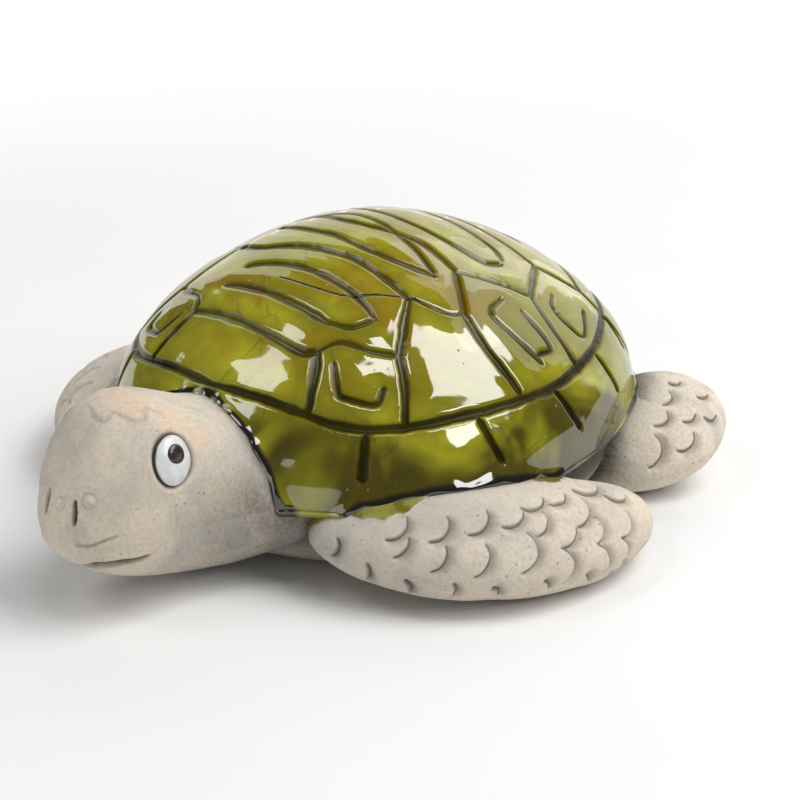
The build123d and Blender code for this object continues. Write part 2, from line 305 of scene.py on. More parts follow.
def plan_scale(points):
    """How far out each point is on the shell's plan, 1 at its edge."""
    return np.hypot(points[:, 0] / SHELL_HALF_WIDTH, points[:, 1] / reach_of(points[:, 1]))


def body_edge(height):
    """Plan scale of the shell or belly's side at a height."""
    up = np.clip((height - RIM) / SHELL_RISE, 0.0, 1.0)
    inset = 1.0 - BELLY_INSET / SHELL_HALF_WIDTH
    belly = inset * np.interp(np.clip(height / RIM, 0.0, 1.0), tray_up, tray_out)
    return np.where(height > RIM, np.interp(up, curve_up, curve_out), belly)


def body_gap(points):
    """Distance outside the shell or belly, measured on the plan."""
    return np.clip(plan_scale(points) - body_edge(points[:, 2]), 0.0, None) * SHELL_HALF_WIDTH


def keep_outside(points, depth):
    """Moves points that lie deep inside the body out to just under its surface."""
    scale = plan_scale(points)
    edge = body_edge(points[:, 2]) - depth / SHELL_HALF_WIDTH
    factor = np.where(scale < edge, edge / np.maximum(scale, 1e-6), 1.0)
    out = points.copy()
    out[:, :2] *= factor[:, None]
    return out


def make_piece(name, points, quads, material, nodes, marks=None, flip=False):
    """Smooth mesh in metres, mirrored if flipped, that stands for CAD nodes and rides on the one body."""
    if flip:
        points = mirrored(points)
    corner = points[quads]
    volume = (corner[:, 0] * np.cross(corner[:, 2], corner[:, 3] - corner[:, 1])).sum()
    if volume < 0:
        quads = quads[:, ::-1]
    mesh = bpy.data.meshes.new(name)
    mesh.from_pydata((points * MM).tolist(), [], quads.tolist(), shade_flat=False)
    mesh.validate()
    for label, values in (marks or {}).items():
        layer = mesh.attributes.new(label, "FLOAT", "POINT")
        layer.data.foreach_set("value", np.asarray(values, np.float32))
    mesh.materials.append(material)
    piece = bpy.data.objects.new(name, mesh)
    scene.collection.objects.link(piece)
    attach(piece, "root")
    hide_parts(*nodes)


def close_cap(points, quads, loop):
    """Closes a loop with a small ring round its middle and a ladder of quads across that."""
    middle = points[loop].mean(0)
    ring = middle + (points[loop] - middle) * CAP_SHARE
    points, quads, last = add_loops(points, quads, loop, [ring])
    half = len(last) // 2
    other = last[::-1]
    ladder = np.stack([last[: half - 1], last[1:half], other[1:half], other[: half - 1]], -1)
    return points, np.concatenate([quads, ladder])


def mirrored(points):
    return points * np.array([-1.0, 1.0, 1.0])


def near_tree(points, quads):
    return BVHTree.FromPolygons(points.tolist(), quads.tolist())


def gap_to(tree, points, pick, limit):
    """Distance from the picked points to another form, up to a limit."""
    gap = np.full(len(points), limit)
    for k in np.nonzero(pick)[0]:
        hit = tree.find_nearest(Vector(points[k]), limit)
        if hit[0] is not None:
            gap[k] = hit[3]
    return gap


# Forms


def head_points(angle, along):
    """Head and neck at an angle round the section and a share of the way from neck to nose."""
    lift = np.clip(along / LIFT_SHARE, 0.0, 1.0)
    soft = ease(lift)
    drop = NOSE_DROP * (np.clip(along - LIFT_SHARE, 0.0, 1.0) / (1 - LIFT_SHARE)) ** 2
    side = NECK_SIDE_Z + (HEAD_SIDE_Z - NECK_SIDE_Z) * soft - drop
    top = NECK_TOP_Z + (HEAD_TOP_Z - NECK_TOP_Z) * soft - drop
    ahead = np.clip((along - THROAT_SHARE) / (1 - THROAT_SHARE), 0.0, 1.0)
    behind = np.clip(1 - along / THROAT_SHARE, 0.0, 1.0)
    under = THROAT_Z + CHIN_RISE * ahead**CHIN_POWER + ROOT_RISE * behind**2
    cosine, sine = np.cos(angle), np.sin(angle)
    below = sine < 0
    nose = NOSE_BLUNT + CHIN_BLUNT * np.clip(-sine, 0.0, 1.0)
    blunt = np.clip(1 - along**nose, 0.0, 1.0) ** (1 / BLUNT_ROOT)
    power = np.where(below, UNDER_POWER, NECK_POWER + HEAD_POWER_GAIN * lift)
    tall = np.where(below, side - under, top - side) * blunt
    half = HEAD_WIDE * blunt + NECK_FLARE * (1 - lift) ** 2
    across = half * np.sign(cosine) * abs(cosine) ** (2 / power)
    z = side + tall * np.sign(sine) * abs(sine) ** (2 / power)
    lean = FACE_LEAN * along**2 * (z - HEAD_SIDE_Z) / (HEAD_TOP_Z - HEAD_SIDE_Z)
    return np.stack([across, lean - NECK_Y - (NOSE_Y - NECK_Y) * along, z], -1)


def arc_through(places):
    """Centre, radius vectors and sweep of the arc through three places."""
    a, b, c = (np.array(p, float) for p in places)
    ab, ac = b - a, c - a
    n = np.cross(ab, ac)
    centre = a + (np.cross(n, ab) * (ac @ ac) + np.cross(ac, n) * (ab @ ab)) / (2 * (n @ n))
    n /= norm(n)
    u = a - centre
    v = np.cross(n, u)
    sweep = atan2((c - centre) @ v, (c - centre) @ u) % (2 * pi)
    return centre, u, v, sweep


def paddle_frame(spine, roll, along):
    """Spine place and outward, upward and forward directions at shares along a paddle."""
    centre, u, v, sweep = arc_through(spine)
    turn = sweep * along[:, None]
    place = centre + u * np.cos(turn) + v * np.sin(turn)
    forward = -u * np.sin(turn) + v * np.cos(turn)
    forward /= norm(forward, axis=1, keepdims=True)
    level = np.cross(forward, [0.0, 0.0, 1.0])
    level /= norm(level, axis=1, keepdims=True)
    tilt = radians(roll)
    outward = level * cos(tilt) + np.cross(forward, level) * sin(tilt)
    return place, outward, np.cross(forward, outward), forward


def paddle_points(spine, size, angle, along):
    """Paddle's surface at an angle round its section and a share along its spine."""
    half_wide, half_thick, roll = size
    place, outward, upward, _ = paddle_frame(spine, roll, along)
    swell = np.sin(pi * np.clip(along, 0.0, 1.0)) ** PADDLE_POWER
    across = (half_wide * swell * np.cos(angle))[:, None] * outward
    through = -(half_thick * swell * np.sin(angle))[:, None] * upward
    return place + across + through


def paddle_seat(spine, size, angle, along):
    """Place on a paddle and its forward, side and outward directions there."""
    step = 0.001
    angles = np.array([angle, angle + step, angle - step, angle])
    shares = np.array([along, along, along, min(along + step, 0.9999)])
    spots = paddle_points(spine, size, angles, shares)
    middle, _, _, forward = paddle_frame(spine, size[2], np.array([along]))
    outward = np.cross(spots[1] - spots[2], spots[3] - spots[0])
    outward *= np.sign(outward @ (spots[0] - middle[0])) / norm(outward)
    forward = forward[0] - outward * (forward[0] @ outward)
    forward /= norm(forward)
    return spots[0], forward, np.cross(outward, forward), outward


# Materials


class Shader:
    """A node material with short ways to add and join its nodes."""

    def __init__(self, name):
        self.material = bpy.data.materials.new(name)
        self.material.use_nodes = True
        self.tree = self.material.node_tree
        self.tree.nodes.clear()
        self.surface = self.node("BsdfPrincipled")
        self.output = self.node("OutputMaterial", Surface=self.surface.outputs[0])
        self.coords = self.node("TexCoord").outputs["Object"]

    def put(self, socket, value):
        """Joins an output to an input, or sets the input's plain value."""
        if isinstance(value, bpy.types.NodeSocket):
            self.tree.links.new(value, socket)
        else:
            socket.default_value = value

    def put_all(self, node, **values):
        """Joins or sets inputs by their names."""
        for label, value in values.items():
            self.put(node.inputs[label.replace("_", " ")], value)

    def node(self, kind, **values):
        node = self.tree.nodes.new(f"ShaderNode{kind}")
        self.put_all(node, **values)
        return node

    def fill(self, kind, operation, *values):
        """New node with its inputs joined or set in their order."""
        node = self.node(kind)
        if operation:
            node.operation = operation
        for socket, value in zip(node.inputs, values):
            self.put(socket, value)
        return node

    def mark(self, label):
        """Value painted on the mesh."""
        node = self.node("Attribute")
        node.attribute_name = label
        return node.outputs["Fac"]

    def noise(self, scale, detail=3.0, rough=0.5, warp=0.0):
        values = {"Scale": scale, "Detail": detail, "Roughness": rough, "Distortion": warp}
        return self.node("TexNoise", Vector=self.coords, **values).outputs["Fac"]

    def cells(self, scale, feature="F1", warp=0.0):
        """Distance in a pattern of cells, with its lines bent by noise where it has a warp."""
        place = self.coords
        if warp:
            cloud = self.node("TexNoise", Vector=self.coords, Scale=scale * CELL_WARP_SCALE)
            bend = self.fill("VectorMath", "MULTIPLY_ADD", cloud.outputs["Color"], (warp,) * 3, self.coords)
            place = bend.outputs[0]
        node = self.node("TexVoronoi", Vector=place, Scale=scale)
        node.feature = feature
        return node.outputs["Distance"]

    def span(self, value, low, high, out_low=0.0, out_high=1.0):
        """Soft step of a value between two limits, from one result to another."""
        limits = {"From_Min": low, "From_Max": high, "To_Min": out_low, "To_Max": out_high}
        node = self.node("MapRange", Value=value, **limits)
        node.interpolation_type = "SMOOTHSTEP"
        return node.outputs["Result"]

    def math(self, kind, *values):
        return self.fill("Math", kind, *values).outputs[0]

    def times(self, a, b):
        return self.math("MULTIPLY", a, b)

    def blend(self, amount, a, b):
        """Mix of two colours, at the inputs that the node has for colours."""
        node = self.node("Mix")
        node.data_type = "RGBA"
        for index, value in ((0, amount), (6, a), (7, b)):
            self.put(node.inputs[index], (*value, 1.0) if isinstance(value, tuple) else value)
        return node.outputs[2]

    def coats(self, colour, *layers):
        """Colour under layers, each with its amount and its tone."""
        for amount, tone in layers:
            colour = self.blend(amount, colour, tone)
        return colour

    def bump(self, height, distance, strength, under=None):
        node = self.node("Bump", Height=height, Distance=distance, Strength=strength)
        if under is not None:
            self.put_all(node, Normal=under)
        return node.outputs["Normal"]

    def set(self, **values):
        self.put_all(self.surface, **values)


CELL_WARP_SCALE = 0.8
GLAZE_IOR = 1.95
CLAY_IOR = 1.45


def glaze_material():
    s = Shader("olive_glaze")
    broad = s.span(s.noise(42.0, 3.0, 0.55, 0.6), 0.36, 0.64)
    groove, height = s.mark("groove"), s.mark("height")
    fine = s.noise(260.0, 4.0, 0.6)
    amber = s.times(s.span(s.noise(52.0, 4.0, 0.6, 1.6), 0.42, 0.62), height)
    # Darker glaze low on the shell: partly thicker pooled glaze, partly painted shade on the lower flank
    thick_glaze_and_shade = s.times(s.span(s.noise(34.0, 3.0, 0.55, 0.9), 0.42, 0.62), s.mark("low"))
    filled = s.times(s.span(s.noise(70.0, 2.0), 0.35, 0.65, 0.86, 1.0), s.span(height, 0.0, 1.0, 1.0, 0.78))
    crackle = s.span(s.cells(105.0, "DISTANCE_TO_EDGE", 0.006), 0.0, 0.028, 1.0, 0.0)
    crackle = s.times(crackle, s.span(s.noise(75.0), 0.46, 0.6))
    crack = s.span(s.math("ABSOLUTE", s.mark("crack")), 0.16, 0.36, 1.0, 0.0)
    pits = s.times(s.span(s.cells(430.0), 0.05, 0.12, 1.0, 0.0), s.span(s.noise(130.0), 0.54, 0.62))
    colour = s.coats(
        s.blend(broad, (0.225, 0.212, 0.006), (0.46, 0.448, 0.02)),
        (s.times(amber, 0.8), (0.33, 0.19, 0.004)),
        (s.span(fine, 0.3, 0.7, 0.0, 0.3), (0.17, 0.15, 0.005)),
        (thick_glaze_and_shade, (0.065, 0.052, 0.002)),
        (s.times(s.mark("near"), 0.4), (0.11, 0.084, 0.003)),
        (s.times(s.span(groove, 0.06, 0.6), filled), (0.014, 0.01, 0.002)),
        (s.span(s.mark("seam"), 0.35, 0.8), (0.01, 0.008, 0.004)),
        # Paler glaze on the drops above the neck, partly a painted highlight
        (s.mark("pale"), (0.4, 0.42, 0.2)),
        (s.times(crackle, 0.4), (0.045, 0.036, 0.004)),
        (s.times(crack, 0.9), (0.008, 0.006, 0.003)),
        (s.times(pits, 0.6), (0.02, 0.016, 0.004)),
    )
    normal = s.bump(s.noise(95.0, 2.0), 0.0006, 0.16)
    normal = s.bump(pits, -0.0004, 0.6, normal)
    normal = s.bump(crack, -0.0003, 0.6, normal)
    sheen = s.math("MAXIMUM", s.span(fine, 0.3, 0.7, 0.03, 0.08), s.span(groove, 0.0, 0.2, 0.0, 0.2))
    dull = s.times(s.span(groove, 0.0, 0.14), s.span(height, 0.0, 1.0, 0.47, 0.34))
    level = s.math("SUBTRACT", 0.5, dull)
    s.set(Base_Color=colour, Normal=normal, Roughness=sheen, IOR=GLAZE_IOR, Specular_IOR_Level=level)
    return s.material


def clay_material():
    s = Shader("bare_clay")
    broad = s.span(s.noise(40.0, 3.0, 0.6, 0.4), 0.36, 0.66)
    smear = s.mark("smear")
    middle = s.noise(150.0, 4.0, 0.65)
    fine = s.noise(1300.0, 3.0, 0.65)
    cloud = s.span(s.noise(58.0, 4.0, 0.6, 0.8), 0.5, 0.68)
    stain = s.span(s.noise(64.0, 4.0, 0.65, 0.8), 0.56, 0.74)
    green = s.blend(s.span(middle, 0.4, 0.6), (0.13, 0.12, 0.008), (0.27, 0.26, 0.06))
    specks = s.times(s.span(s.cells(620.0), 0.1, 0.24, 1.0, 0.0), s.span(s.noise(300.0, 2.0), 0.52, 0.62))
    colour = s.coats(
        s.blend(broad, (0.475, 0.435, 0.38), (0.67, 0.585, 0.47)),
        (s.span(middle, 0.38, 0.68, 0.0, 0.35), (0.72, 0.635, 0.525)),
        (s.times(s.mark("peach"), 0.7), (0.73, 0.54, 0.39)),
        (s.mark("light"), (0.8, 0.715, 0.59)),
        (s.times(cloud, 0.6), (0.43, 0.412, 0.385)),
        (s.times(s.mark("grey"), 0.75), (0.43, 0.415, 0.39)),
        (s.times(stain, 0.4), (0.52, 0.4, 0.27)),
        (s.span(fine, 0.32, 0.62, 0.25, 0.0), (0.3, 0.262, 0.22)),
        (s.times(specks, 0.45), (0.12, 0.1, 0.085)),
        # Dark soot colour: partly a real stain, mostly painted shade near the joins, under the shell's edge
        # and on the belly
        (s.times(s.mark("soot"), s.span(fine, 0.3, 0.7, 1.0, 0.75)), (0.07, 0.062, 0.052)),
        # Painted shade in recesses: mouth, nostrils, crease, brow flakes, eye sockets, scale cuts and the
        # belly's top
        (s.times(s.mark("cavity"), 0.95), (0.04, 0.032, 0.026)),
        (s.span(smear, 0.35, 0.6), green),
    )
    normal = s.bump(middle, 0.0005, 0.5, s.bump(fine, 0.00014, 0.7))
    rough = s.span(smear, 0.35, 0.6, 0.8, 0.12)
    s.set(Base_Color=colour, Normal=normal, Roughness=rough, IOR=CLAY_IOR)
    return s.material


def pellet_material(name, scale, tones, relief, rough, ring=None):
    """Cloudy gloss glaze of an eye or pupil, with a dark ring round its edge where it has one."""
    s = Shader(name)
    cloud = s.noise(scale)
    colour = s.blend(s.span(cloud, 0.3, 0.7), *tones)
    if ring:
        colour = s.blend(s.span(s.mark("rim"), 0.8, 0.9), colour, ring)
    normal = s.bump(cloud, 0.0001, relief)
    s.set(Base_Color=colour, Normal=normal, Roughness=s.span(cloud, 0.3, 0.7, *rough))
    return s.material


EYE_TONES = ((0.62, 0.625, 0.63), (0.74, 0.745, 0.75))
EYE_RING = (0.06, 0.042, 0.032)
PUPIL_TONES = ((0.028, 0.019, 0.016), (0.055, 0.04, 0.035))

glaze = glaze_material()
clay = clay_material()
eye_white = pellet_material("eye_white_glaze", 500.0, EYE_TONES, 0.25, (0.1, 0.2), EYE_RING)
pupil_dark = pellet_material("pupil_glaze", 700.0, PUPIL_TONES, 0.2, (0.08, 0.16))

# Base forms of the neighbours, for the seams between them
head_angle, head_share, head_quads, head_border = disc_grid(HEAD_GRID)
head_base = head_points(head_angle, np.sin(pi / 2 * (1 - head_share)))

paddle_angle, paddle_share, paddle_quads, paddle_border = ring_grid(*PADDLE_GRID)
paddle_run = 1 - PADDLE_ROOT_SHARE * paddle_share**PADDLE_RUN_POWER
front_base = paddle_points(FRONT_SPINE, FRONT_SIZE, paddle_angle, paddle_run)
rear_base = paddle_points(REAR_SPINE, REAR_SIZE, paddle_angle, paddle_run)
tail_angle, tail_share, tail_quads, tail_border = disc_grid(TAIL_GRID)
tail_run = 1 - (1 - np.cos(pi * tail_share)) / 2 * TAIL_ROOT_SHARE
tail_base = paddle_points(TAIL_SPINE, TAIL_SIZE, tail_angle, tail_run)

dome_angle, dome_share, dome_quads, dome_border = disc_grid(DOME_GRID)
dome_base = dome_points(dome_angle, 1 - dome_share)

head_tree = near_tree(head_base, head_quads)
paddle_trees = [near_tree(front_base, paddle_quads), near_tree(mirrored(front_base), paddle_quads)]
rear_trees = [near_tree(rear_base, paddle_quads), near_tree(mirrored(rear_base), paddle_quads)]
body_trees = [head_tree, *paddle_trees, *rear_trees, near_tree(tail_base, tail_quads)]

# Carapace: scored lines as in the part's source. Each has its width in millimetres and places as shares of
# the shell's half width and of its front or rear reach. Side lines are mirrored to the turtle's right.
SIDE_LINES = (
    (1.5, ((0.32, -0.61), (0.37, -0.54), (0.48, -0.49), (0.56, -0.43))),
    (2.2, ((0.56, -0.43), (0.44, -0.23))),
    (1.2, ((0.44, -0.23), (0.56, -0.155), (0.595, -0.09))),
    (2.1, ((0.595, -0.09), (0.44, 0.04))),
    (1.5, ((0.44, 0.04), (0.55, 0.17), (0.61, 0.24))),
    (2.1, ((0.61, 0.24), (0.46, 0.42))),
    (1.7, ((0.46, 0.42), (0.55, 0.57))),
    (2.0, ((0.55, 0.57), (0.3, 0.7))),
    (2.2, ((0.32, -0.61), (0.37, -0.69), (0.41, -0.77))),
    (2.1, ((0.56, -0.43), (0.64, -0.49), (0.7, -0.56))),
    (2.2, ((0.595, -0.09), (0.73, -0.115), (0.87, -0.1))),
    (1.8, ((0.61, 0.24), (0.74, 0.22), (0.86, 0.22))),
    (2.0, ((0.55, 0.57), (0.72, 0.63))),
    (2.0, ((0.3, 0.7), (0.4, 0.86))),
    (1.6, ((0.395, -0.605), (0.455, -0.655), (0.49, -0.66), (0.59, -0.6), (0.585, -0.545))),
    (1.6, ((0.595, 0.11), (0.63, 0.02), (0.73, 0.035), (0.83, 0.07))),
    (1.6, ((0.66, 0.145), (0.79, 0.15), (0.805, 0.08))),
    (1.5, ((0.605, 0.355), (0.675, 0.295), (0.77, 0.345), (0.66, 0.47))),
)
CROSS_LINES = (
    (2.4, ((-0.32, -0.61), (-0.13, -0.63), (0.02, -0.645), (0.15, -0.65), (0.265, -0.645), (0.32, -0.61))),
    (2.2, ((-0.44, -0.23), (-0.265, -0.285), (-0.04, -0.265), (0.075, -0.25), (0.21, -0.23), (0.44, -0.23))),
    (2.0, ((-0.44, 0.04), (-0.24, 0.005), (-0.08, -0.045), (0.065, -0.035), (0.27, 0.04), (0.44, 0.04))),
    (2.0, ((-0.46, 0.42), (-0.24, 0.4), (0.0, 0.395), (0.24, 0.4), (0.46, 0.42))),
    (2.0, ((-0.3, 0.7), (0.0, 0.68), (0.3, 0.7))),
    (
        2.0,
        ((-0.265, -0.495), (-0.045, -0.51), (0.235, -0.515), (0.31, -0.5), (0.375, -0.465), (0.415, -0.39)),
    ),
    (1.9, ((-0.245, -0.4), (-0.105, -0.38), (0.05, -0.365), (0.27, -0.365), (0.405, -0.39))),
    (
        1.9,
        ((-0.34, -0.1), (-0.16, -0.155), (-0.015, -0.165), (0.175, -0.16), (0.325, -0.115), (0.42, -0.06)),
    ),
    (1.7, ((-0.32, -0.03), (-0.12, 0.02), (0.05, 0.02), (0.265, -0.005), (0.405, -0.045))),
    (1.9, ((-0.36, 0.205), (-0.16, 0.12), (0.03, 0.1), (0.22, 0.125), (0.42, 0.175), (0.45, 0.25))),
    (1.7, ((-0.34, 0.26), (-0.12, 0.305), (0.1, 0.3), (0.345, 0.3), (0.43, 0.275))),
    (1.7, ((-0.26, 0.545), (0.0, 0.49), (0.26, 0.545))),
    (1.7, ((-0.26, 0.545), (0.0, 0.605), (0.26, 0.545))),
)
# Ring and ticks: directions in degrees and shares of the shell's rise
RING_WIDTH = 2.5
RING_LINE = (
    (-90, 0.45), (-76, 0.45), (-64, 0.415), (-54, 0.375), (-43, 0.36), (-27, 0.375), (-10, 0.38), (4, 0.37),
    (20, 0.385), (34, 0.4), (48, 0.41), (62, 0.41), (76, 0.4), (90, 0.4),
)
TICK_LINES = (
    (2.4, (-48, 0.335), (-49, 0.15)),
    (2.0, (-20.5, 0.35), (-17, 0.155)),
    (2.0, (4, 0.36), (7, 0.155)),
    (1.8, (23.5, 0.36), (25, 0.165)),
    (2.0, (44, 0.38), (45, 0.165)),
    (2.0, (64, 0.38), (65, 0.165)),
    (2.0, (82, 0.37), (82.5, 0.165)),
)
# Glaze cracks, as places like those of the side lines
CRACK_LINES = (
    ((-0.02, -0.44), (0.12, -0.43), (0.25, -0.4), (0.33, -0.335), (0.4, -0.27), (0.45, -0.22)),
    ((0.45, -0.215), (0.5, -0.2), (0.55, -0.17), (0.585, -0.12)),
)

# Drops of glaze that gathered above the neck: place, size and rise
GLAZE_DROPS = (
    ((-11.1, -39.1, 35.7), 1.3, 0.55),
    ((-6.0, -43.0, 32.6), 1.5, 0.5),
    ((-1.5, -43.6, 32.0), 1.8, 0.6),
    ((2.5, -43.9, 31.6), 1.4, 0.45),
    ((6.0, -43.6, 31.0), 1.7, 0.5),
)
# Places on the rim where the glaze runs over the black seam, between neck and flipper
RIM_RUNS = ((27.0, -42.0, 17.0), (-27.0, -42.0, 17.0))
RIM_RUN_SIZE = 7.0

# Relief of the lines, the scutes between them and the bead of glaze at the seams
TICK_STEPS = 6
LINE_REACH = 12.0
LINE_SPREAD = 0.32
LINE_DEPTH = 0.6
FULL_LINE_WIDTH = 2.2
LINE_SIDE_WIDTH = 2.0
SCUTE_RISE = 0.2
SCUTE_EDGE = 3.0
SEAM_REACH = 6.0
SEAM_TOP = 42.0
BEAD_WIDTH = 1.5
BEAD_RISE = 0.8
SEAM_EDGE_WIDTH = 4.5
RIM_BAND = 1.9
RIM_BAND_FADE = 1.4
CRACK_REACH = 3.0
# Rim rolled inwards, and the inner wall
ROLL_STEP = 15
ROLL_OUT = 0.5
ROLL_DROP = 0.85
WALL_SHARES = (0.0, 0.2, 0.4, 0.6, 0.8, 0.94)
# Heights from which the glaze turns amber, and under which it darkens, partly as thicker pooled glaze and
# partly as painted shade
AMBER_START = 32.0
AMBER_FADE = 14.0
DARK_GLAZE_END = 36.0
DARK_GLAZE_FADE = 8.0


def plan_of(places):
    """Plan places in millimetres from shares of the shell's sizes."""
    places = np.asarray(places, float)
    return np.stack([places[:, 0] * SHELL_HALF_WIDTH, places[:, 1] * reach_of(places[:, 1])], -1)


def scored_lines():
    """Every scored line on the shell: its width and its places."""
    lines = []
    for flip in (1.0, -1.0):
        for width, places in SIDE_LINES:
            plan = rounded_line(plan_of(places)) * (flip, 1.0)
            lines.append((width, dome_over(plan)))
        for width, top, foot in TICK_LINES:
            ends = np.linspace(top, foot, TICK_STEPS)
            if flip < 0:
                ends[:, 0] = 180 - ends[:, 0]
            lines.append((width, dome_at(ends)))
    for width, places in CROSS_LINES:
        lines.append((width, dome_over(rounded_line(plan_of(places)))))
    ring = np.array(RING_LINE, float)
    other = ring[::-1][1:] * (-1.0, 1.0) + (180.0, 0.0)
    lines.append((RING_WIDTH, dome_at(rounded_line(np.concatenate([ring, other])))))
    return lines


def scored_relief(points):
    """Depth of the scored lines, from 0 to about 1, and distance from the nearest one."""
    depth = np.zeros(len(points))
    nearest = np.full(len(points), LINE_REACH)
    wander = uneven(points, (3.1, 3, 0.2), (1.3, 4, 0.1))
    for width, line in scored_lines():
        near, along, _ = line_distance(points, line, LINE_REACH)
        near = near + wander
        half = (width * 0.5 + LINE_SPREAD) * (0.6 + 0.4 * taper(along, 10))
        cut = ease((half - near) / half)
        depth = np.maximum(depth, cut * np.clip(width / FULL_LINE_WIDTH, 0.6, 1.05))
        nearest = np.minimum(nearest, np.clip(near - half, 0, None))
    return depth, nearest


def seam_relief(points):
    """Bead of glaze beside the other pieces, and black of the seam there and along the rim."""
    gap = np.full(len(points), SEAM_REACH)
    for tree in body_trees:
        gap = np.minimum(gap, gap_to(tree, points, points[:, 2] < SEAM_TOP, SEAM_REACH))
    bead = bell(gap, BEAD_WIDTH + 0.7 * lumps(points, 4.5, 5))
    edge = np.maximum(0.5 + 0.45 * lumps(points, 9.0, 10), bell(gap, SEAM_EDGE_WIDTH))
    seam = np.maximum(bead, edge * ease((RIM + RIM_BAND - points[:, 2]) / RIM_BAND_FADE))
    for place in RIM_RUNS:
        seam = seam * (1 - 0.9 * dab(points, place, RIM_RUN_SIZE))
    return bead, seam


def crack_distance(points):
    """Distance to the nearest crack in the glaze, negative on its front side."""
    crack = np.full(len(points), CRACK_REACH)
    for places in CRACK_LINES:
        near, _, foot = line_distance(points, dome_over(rounded_line(plan_of(places))), CRACK_REACH)
        side = (points[:, 1] - foot[:, 1]) + 0.25 * lumps(points, 1.6, 6)
        crack = np.where(near < abs(crack), np.where(side < 0, -near, near), crack)
    return crack


def rolled_rim(rim, angle):
    """Loops that roll the rim's edge inwards."""
    loops = []
    for turn in range(ROLL_STEP, 181, ROLL_STEP):
        t = radians(turn)
        outward = ROLL_OUT * sin(t) - ROLL_OUT * (1 - cos(t))
        loop = rim.copy()
        loop[:, 0] += outward * np.cos(angle)
        loop[:, 1] += outward * np.sin(angle)
        loop[:, 2] = RIM - ROLL_DROP * (1 - cos(t))
        loops.append(loop)
    return loops


def build_carapace():
    points = dome_base
    depth, nearest = scored_relief(points)
    bead, seam = seam_relief(points)
    pale = np.zeros(len(points))
    drops = np.zeros(len(points))
    for place, size, rise in GLAZE_DROPS:
        spot = dab(points, place, size)
        drops = np.maximum(drops, spot * rise)
        # The drops' paler colour is partly a painted highlight
        pale = np.maximum(pale, spot)
    move = SCUTE_RISE * (1 - bell(nearest, SCUTE_EDGE)) - SCUTE_RISE - LINE_DEPTH * depth
    move = move + uneven(points, (16.0, 1, 0.3), (7.0, 2, 0.06)) * 0.5
    move = move + bead * (BEAD_RISE + 0.4 * lumps(points, 3.0, 9)) + drops
    shaped = points + vertex_normals(points, dome_quads, 0.0) * move[:, None]
    rim_angle = dome_angle[dome_border]
    rolls = rolled_rim(shaped[dome_border], rim_angle)
    walls = [dome_points(rim_angle, np.full(len(rim_angle), share), -SHELL_WALL) for share in WALL_SHARES]
    out, quads, last = add_loops(shaped, dome_quads, dome_border, rolls + walls)
    out, quads = close_cap(out, quads, last)

    def pad(values, fill=0.0):
        return np.concatenate([values, np.full(len(out) - len(values), fill)])

    marks = {
        "groove": pad(depth),
        "near": pad(np.exp(-nearest / LINE_SIDE_WIDTH)),
        "height": pad(ease((points[:, 2] - AMBER_START) / AMBER_FADE)),
        # Share of the darkening low on the shell, partly thicker glaze and partly painted shade
        "low": pad(ease((DARK_GLAZE_END - points[:, 2]) / DARK_GLAZE_FADE)),
        "seam": pad(np.concatenate([seam, np.tile(seam[dome_border], len(rolls))])),
        "pale": pad(pale),
        "crack": pad(crack_distance(points), CRACK_REACH),
    }
    make_piece("carapace_shell", out, quads, glaze, ["carapace"], marks)


def clay_marks(count, **given):
    """Marks of a clay piece, each with its plain value where none is given."""
    marks = {label: np.zeros(count) for label in ("cavity", "soot", "smear", "peach", "grey", "light")}
    for label, values in given.items():
        marks[label][: len(values)] = values
    return marks


# Face: left half of the mouth, a nostril, bumps, a crease, the brow's flaked edge, and places of warmer
# and greyer clay, with the sizes of their relief
MOUTH_HALF = (
    (0.0, -77.0, 10.9), (4.5, -77.3, 12.1), (6.9, -77.1, 13.2), (9.6, -75.0, 13.7), (11.3, -71.8, 13.6),
    (12.0, -70.2, 14.1),
)
NOSTRIL = ((3.3, -78.8, 25.3), (3.7, -79.3, 23.1), (3.8, -79.8, 20.8))
FACE_BUMPS = (((6.1, -77.9, 25.5), 1.1), ((0.0, -79.5, 23.7), 1.0))
CREASE = ((4.0, -80.0, 17.3), (6.8, -79.0, 17.6), (8.9, -77.4, 18.7), (10.5, -75.5, 19.4))
SCALLOPS = (
    (-4.0, -68.2, 37.4), (-0.1, -70.2, 36.7), (2.2, -70.0, 36.8), (2.4, -68.2, 37.7), (6.0, -67.5, 37.2),
    (7.4, -65.6, 37.2), (6.0, -64.0, 38.2), (8.6, -61.8, 37.6),
)
WARM_SPOTS = (
    ((3.0, -64.5, 38.4), 7.0), ((9.0, -60.5, 36.5), 6.5), ((12.6, -57.0, 33.0), 5.0),
    ((-3.0, -63.0, 38.6), 6.0), ((-3.5, -79.5, 18.0), 3.0),
)
SLIP_PATCH = ((14.6, -57.4, 14.6), (16.4, -54.0, 15.0), (16.2, -52.6, 12.0))
SLIP_SIZE = 5.0
MOUTH_GAPE = 1.35
MOUTH_DEPTH = 1.9
LIP_OFFSET = 1.2
UPPER_LIP_RISE = 0.3
LOWER_LIP_RISE = 0.12
NOSTRIL_GAPE = 0.6
NOSTRIL_DEPTH = 1.3
BUMP_RISE = 0.6
CREASE_WIDTH = 0.6
CREASE_DEPTH = 0.28
SCALLOP_WIDTH = 0.5
SCALLOP_DEPTH = 0.22
SOCKET_REACH = 4.0
SOCKET_DEPTH = 0.45
LID_RISE = 0.15
HEAD_SINK = 2.0
HEAD_MIDDLE = (0.0, -58.0, 21.0)

